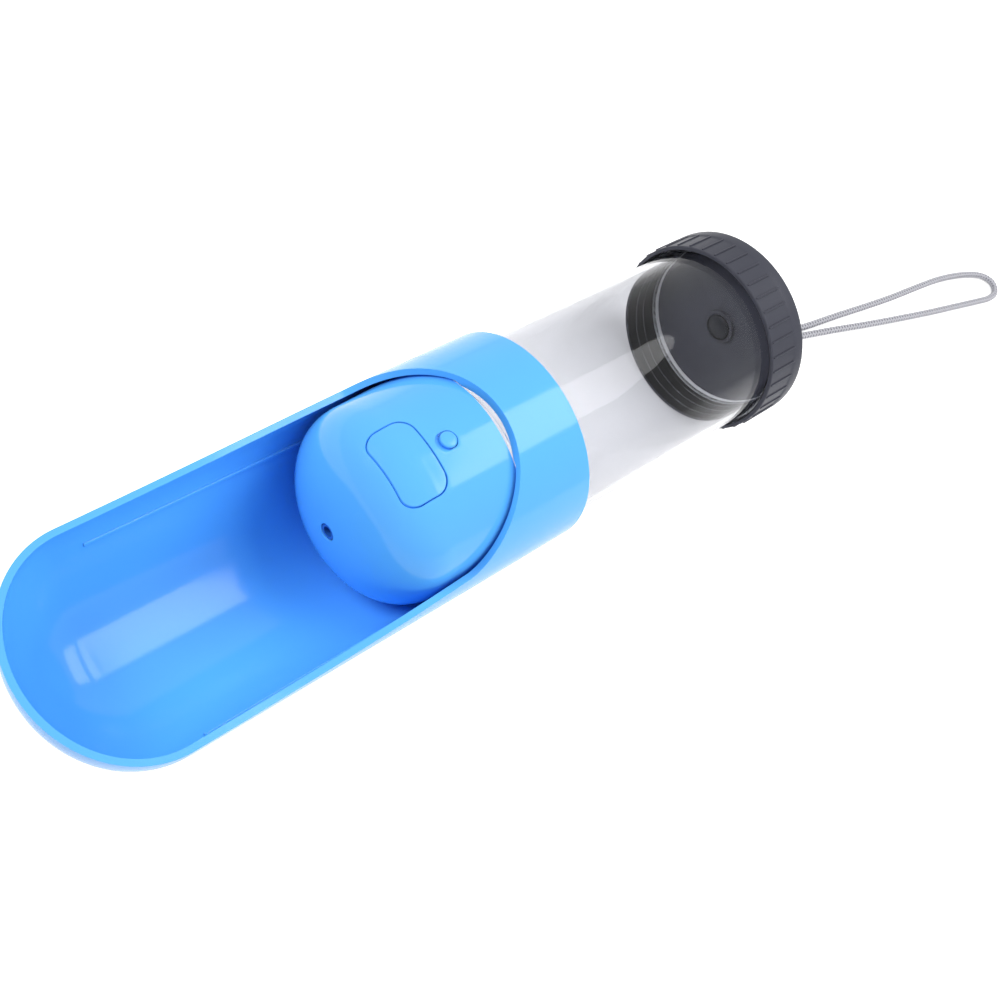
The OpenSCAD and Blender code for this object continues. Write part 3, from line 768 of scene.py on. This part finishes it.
# %% The knob
KNOB_FOOT, KNOB_TOP = KNOB_FLOOR + 0.1, KNOB_FLOOR + 1.4
bm = bmesh.new()
profile = [(0, KNOB_FOOT), (1.0, KNOB_FOOT), (KNOB_R, KNOB_FOOT),
           (KNOB_R, KNOB_TOP - 0.35), (KNOB_R - 0.1, KNOB_TOP - 0.13),
           (KNOB_R - 0.4, KNOB_TOP), (1.2, KNOB_TOP + 0.05), (0, KNOB_TOP + 0.07)]
line = [bm.verts.new(spot(KNOB_AT + r, 0, h)) for r, h in profile]
edges = [bm.edges.new(pair) for pair in zip(line, line[1:])]
bmesh.ops.spin(bm, geom=line + edges, cent=spot(KNOB_AT, 0, 0), axis=(0, 0, 1), dvec=(0, 0, 0),
               angle=2 * math.pi, steps=48, use_merge=True, use_duplicate=False)
bmesh.ops.remove_doubles(bm, verts=bm.verts, dist=1e-6)
bmesh.ops.recalc_face_normals(bm, faces=bm.faces)
knob = new_piece(bm, "knob", sky_blue, "lock", "lock_knob")

# %% [markdown]
# ## Clear tube
# The tube is spun from its profile: a plain barrel, a shoulder and a narrow neck. Both ends
# carry a screw thread, which is a ridge that climbs as it goes round, so the points of the
# spun wall are pushed out by how near they are to that ridge.

# %% The tube
TUBE_R, TUBE_WALL, TUBE_REAR = 31.6, 2.0, -103.8
SHOULDER_AT, NECK_START, NECK_END, NECK_R = 15.0, 18.0, 36.0, 26.6
THREAD_H, PITCH, RIDGE_HALF, RIDGE_FLANK, THREAD_FADE = 0.7, 4.0, 0.22, 1.6, 1.2
TUBE_COLUMNS, REAR_THREAD_ROWS, NECK_THREAD_ROWS = 144, 28, 36
rear_thread = (TUBE_REAR + 1.2, -92.0)
neck_thread = (NECK_START + 1.0, NECK_END - 2.0)
tube_profile = ([(TUBE_REAR, TUBE_R - TUBE_WALL), (TUBE_REAR, TUBE_R)]
                + [(u, TUBE_R) for u in spaced(*rear_thread, REAR_THREAD_ROWS)]
                + [(rear_thread[1], TUBE_R)]
                + [(-60, TUBE_R), (-20, TUBE_R), (SHOULDER_AT, TUBE_R), (NECK_START, NECK_R)]
                + [(u, NECK_R) for u in spaced(*neck_thread, NECK_THREAD_ROWS)]
                + [(neck_thread[1], NECK_R), (NECK_END, NECK_R), (NECK_END, NECK_R - TUBE_WALL),
                   (NECK_START - 1, NECK_R - TUBE_WALL), (SHOULDER_AT - 1, TUBE_R - TUBE_WALL),
                   (-20, TUBE_R - TUBE_WALL), (-60, TUBE_R - TUBE_WALL)])
bm = spin_profile(tube_profile, TUBE_COLUMNS)

# %% Its two screw threads
for v in bm.verts:
    u, turn = station_of(v.co), math.radians(turn_of(v.co))
    r = math.hypot(v.co.y, v.co.z - AXIS.z) / MM
    for (start, end), base in ((rear_thread, TUBE_R), (neck_thread, NECK_R)):
        if start < u < end and abs(r - base) < NEAR:
            phase = ((u - start) / PITCH - turn / (2 * math.pi)) % 1
            near = max(0, 1 - abs(phase - 0.5) / RIDGE_HALF)
            fade = min(1, (u - start) / THREAD_FADE, (end - u) / THREAD_FADE)
            grown = base + THREAD_H * min(1, near * RIDGE_FLANK) * max(0, fade)
            v.co = spot(u, grown * math.sin(turn), grown * math.cos(turn))
tube = new_piece(bm, "tube", clear, "bottle", "bottle_tube")
soften(tube, 0.3)

# %% [markdown]
# ## End cap
# The cap is a dark cup, spun from a closed profile. Forty thin ribs for grip stand on its
# front two thirds; each is a bar with softened edges, turned about the axis. The wall inside
# carries painted shade: its colour is darker than the rest, for the little light that reaches it.

# %% The cap's cup
CAP_REAR, CAP_FRONT, CAP_INSIDE = -108.3, -90.8, -105.3
CAP_R, RIB_BASE_R, CAP_BORE_R = 34.6, 34.2, 32.6
HOLE_R, STOP_R, BOSS_R, FLOOR_T, BOSS_H = 3.2, 4.3, 6.2, 1.2, 1.2
band = CAP_REAR + 5.25
cap_profile = [(CAP_REAR, HOLE_R), (CAP_REAR, CAP_R - 1.5), (CAP_REAR + 0.35, CAP_R - 0.6),
               (CAP_REAR + 0.9, CAP_R - 0.15), (CAP_REAR + 1.6, CAP_R), (band, CAP_R),
               (band + 0.7, RIB_BASE_R), (CAP_FRONT - 0.6, RIB_BASE_R),
               (CAP_FRONT - 0.2, RIB_BASE_R - 0.15), (CAP_FRONT, RIB_BASE_R - 0.5),
               (CAP_FRONT, CAP_BORE_R), (CAP_INSIDE, CAP_BORE_R), (CAP_INSIDE, BOSS_R),
               (CAP_INSIDE + BOSS_H, BOSS_R), (CAP_INSIDE + BOSS_H, STOP_R),
               (CAP_REAR + FLOOR_T, STOP_R), (CAP_REAR + FLOOR_T, HOLE_R)]
bm = spin_profile(cap_profile, 160)

# %% Its ribs
RIB_COUNT, RIB_W, RIB_ROOT = 40, 0.6, 0.4
BORE_PAINTED_SHADE, FLOOR_ROOM = 0.15, 0.2
for k in range(RIB_COUNT):
    a = 2 * math.pi * k / RIB_COUNT
    out = Vector((0, math.sin(a), math.cos(a)))
    wide = Vector((0, math.cos(a), -math.sin(a)))
    rib = bmesh.ops.create_cube(bm, size=1)["verts"]
    for v in rib:
        u = band - 0.3 if v.co.x < 0 else CAP_FRONT - 0.8
        r = RIB_BASE_R - RIB_ROOT if v.co.z < 0 else CAP_R
        v.co = spot(u, 0, 0) + (out * r + wide * (v.co.y * RIB_W)) * MM
    faces = list({f for v in rib for f in v.link_faces})
    bmesh.ops.recalc_face_normals(bm, faces=faces)
cap = new_piece(bm, "cap", charcoal, "cap", "end_cap")
# The wall of the cap's bore gets painted shade: its colour is darkened to a small share there.
paint_bore_shade(charcoal, CAP_BORE_R, spot(CAP_INSIDE, 0, 0).x + FLOOR_ROOM * MM, BORE_PAINTED_SHADE)
soften(cap, 0.14, segments=2)

# %% [markdown]
# ## Plug over the cord's hole
# Seen through the tube, a small dome closes the hole in the cap's floor.

# %% The plug
PLUG_R, PLUG_STEM_R, PLUG_RIM = 4.85, 4.2, CAP_INSIDE + BOSS_H
DOME_FOOT, DOME_RISE = PLUG_RIM + 0.35, 1.65
plug_low = CAP_REAR + FLOOR_T + 2.1
dome = [(DOME_FOOT + DOME_RISE * math.sin(math.radians(a)), PLUG_R * math.cos(math.radians(a)))
        for a in range(0, 90, 10)]
bm = spin_profile([(plug_low, 0), (plug_low, PLUG_STEM_R), (PLUG_RIM, PLUG_STEM_R),
                   (PLUG_RIM, PLUG_R)] + dome + [(DOME_FOOT + DOME_RISE, 0)], 64, closed=False)
plug = new_piece(bm, "plug", black_gloss, "cap", "cord_plug")

# %% [markdown]
# ## Valve spring
# A coil of steel wire under the valve brings the button back. One ring of points is turned
# about the spring's axis and lifted a little at each step.

# %% The spring
WIRE_R, SPRING_TURNS, TURN_STEPS, BUTTON_TRAVEL = 0.4, 4, 30, 2.5
low, high = (Vector(corner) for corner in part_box("valve_spring"))
foot = Vector(((low.x + high.x) / 2, (low.y + high.y) / 2, low.z + WIRE_R * MM))
coil_r = (high.x - low.x) / 2 - WIRE_R * MM
rise = (high.z - low.z - 2 * WIRE_R * MM) / (SPRING_TURNS * TURN_STEPS)
bm = bmesh.new()
bmesh.ops.create_circle(bm, segments=10, radius=WIRE_R * MM,
                        matrix=Matrix.Translation(foot + Vector((coil_r, 0, 0)))
                        @ Matrix.Rotation(math.pi / 2, 4, "X"))
bmesh.ops.spin(bm, geom=bm.verts[:] + bm.edges[:], cent=foot, axis=(0, 0, 1),
               dvec=(0, 0, rise), angle=2 * math.pi * SPRING_TURNS,
               steps=SPRING_TURNS * TURN_STEPS, use_merge=False, use_duplicate=False)
bmesh.ops.holes_fill(bm, edges=[e for e in bm.edges if e.is_boundary], sides=0)
bmesh.ops.recalc_face_normals(bm, faces=bm.faces)
spring = new_piece(bm, "spring", steel, "head", "valve_spring")
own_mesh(spring)

# %% [markdown]
# ## Pieces that stay as the CAD made them
# What shows only through the tube or the gap behind the head keeps its CAD shape and gets its
# finish here.

# %% Finishes for the CAD pieces
cad_finishes = {
    "collar_grip_ring": black_rubber, "head_base": deep_blue, "neck_seal": silicone,
    "valve_stem": steel, "valve_seal": silicone, "valve_seat": white_plastic,
    "valve_block": white_plastic, "spring_cap": white_plastic,
    "stem_seal": black_rubber, "stem_bush": white_plastic, "block_screws": steel,
    "outlet_nozzle": deep_blue, "nozzle_seal": black_rubber, "air_vent_valve": silicone,
    "lock_plate": white_plastic, "cap_seal": silicone, "cord_stop": steel}
for name, finish in cad_finishes.items():
    mesh = nodes[name].data
    mesh.materials.clear()
    mesh.materials.append(finish)
print(len(cad_finishes), "CAD pieces finished")

# %% [markdown]
# ## Floor and world
# The floor is a plain pale sheet on which the lamps draw the bottle's soft shadow. To the
# camera, in reflections and through the tube, it and the world are white, and for soft light
# they are dimmer, so the white backdrop puts no more light on the bottle.

# %% The floor's sheet
FLOOR_HALF, FLOOR_DROP = 2.5, 0.0001
bm = bmesh.new()
bmesh.ops.create_grid(bm, x_segments=1, y_segments=1, size=FLOOR_HALF)
for v in bm.verts:
    v.co.z = -FLOOR_DROP
mesh = bpy.data.meshes.new("floor")
bm.to_mesh(mesh)
bm.free()
floor = bpy.data.objects.new("floor", mesh)
scene.collection.objects.link(floor)
floor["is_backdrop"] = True

# %% Its paper
paper = bpy.data.materials.new("pale_paper")
paper.use_nodes = True
tree = paper.node_tree
shader = tree.nodes["Principled BSDF"]
shader.inputs["Base Color"].default_value = (0.8, 0.8, 0.8, 1)
shader.inputs["Roughness"].default_value = 0.9
shader.inputs["Specular IOR Level"].default_value = 0.0
shader.inputs["Emission Color"].default_value = (1, 1, 1, 1)


def by_ray(tree, plain, **seen):
    """A level that is plain for soft light, and as given for what each other kind of ray sees."""
    rays = tree.nodes.new("ShaderNodeLightPath")
    level = plain
    for kind, value in seen.items():
        choice = tree.nodes.new("ShaderNodeMix")
        tree.links.new(rays.outputs[f"Is {kind.title()} Ray"], choice.inputs["Factor"])
        choice.inputs["B"].default_value = value
        if level is plain:
            choice.inputs["A"].default_value = plain
        else:
            tree.links.new(level, choice.inputs["A"])
        level = choice.outputs["Result"]
    return level


tree.links.new(by_ray(tree, 0, transmission=0.45, glossy=0.45, camera=0.6),
               shader.inputs["Emission Strength"])
floor.data.materials.append(paper)

# %% World
world = bpy.data.worlds.new("studio")
scene.world = world
world.use_nodes = True
tree = world.node_tree
back = tree.nodes["Background"]
back.inputs["Color"].default_value = (1, 1, 1, 1)
tree.links.new(by_ray(tree, 0.35, glossy=1, transmission=1, camera=1), back.inputs["Strength"])

# %% [markdown]
# ## Lamps
# Two soft boxes overhead make the pale strips on the tube, the collar and the head. Only the
# rear one is seen in reflections, so that the strip ends on the head. A third lights the
# sleeve alone, for the strip on the trough's floor. Two fills soften the shadows unseen.

# %% The lamps
BOX_WIDTH, BOX_SIDE, BOX_LEVEL = 0.56, -0.16, 4.9


def soft_box(name, place, size, power):
    lamp = bpy.data.lights.new(name, "AREA")
    lamp.shape = "RECTANGLE"
    lamp.size, lamp.size_y = size
    lamp.energy = power
    holder = bpy.data.objects.new(name, lamp)
    holder.location = place
    scene.collection.objects.link(holder)
    return holder


def overhead(name, x_from, x_to, height=0.74):
    """A soft box over the bottle from x_from to x_to, facing straight down."""
    length = x_to - x_from
    return soft_box(name, ((x_from + x_to) / 2, BOX_SIDE, height), (length, BOX_WIDTH),
                    BOX_LEVEL * math.pi * length * BOX_WIDTH)


def fill(name, place, target, size, power):
    """A soft box aimed at a place on the bottle, and left out of reflections."""
    holder = soft_box(name, place, size, power)
    aim = Vector(target) - Vector(place)
    holder.rotation_euler = aim.to_track_quat("-Z", "Y").to_euler()
    holder.visible_glossy = False


overhead("overhead_rear", 0.36, 0.73)
overhead("overhead_front", 0.10, 0.36).visible_glossy = False
shine = overhead("trough_shine", 0.10, 0.26, height=0.735)
shine.visible_diffuse = False
shine.visible_transmission = False
shine.light_linking.receiver_collection = bpy.data.collections.new("trough_only")
shine.light_linking.receiver_collection.objects.link(sleeve)
fill("fill_front", (-0.6, 0.55, 0.6), (-0.05, 0, 0.03), (0.5, 0.5), 6)
fill("fill_near", (0.1, -0.9, 0.35), (0, 0, 0.03), (0.6, 0.4), 3)
print(len(bpy.data.lights), "lamps")

# %% [markdown]
# ## Sizes
# The box round the dressed bottle is printed. The dressed bottle has to stay inside the CAD
# model's box.

# %% Print the dressed bottle's box
low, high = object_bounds()
print("visual box", [round(v, 4) for v in (*low, *high)])
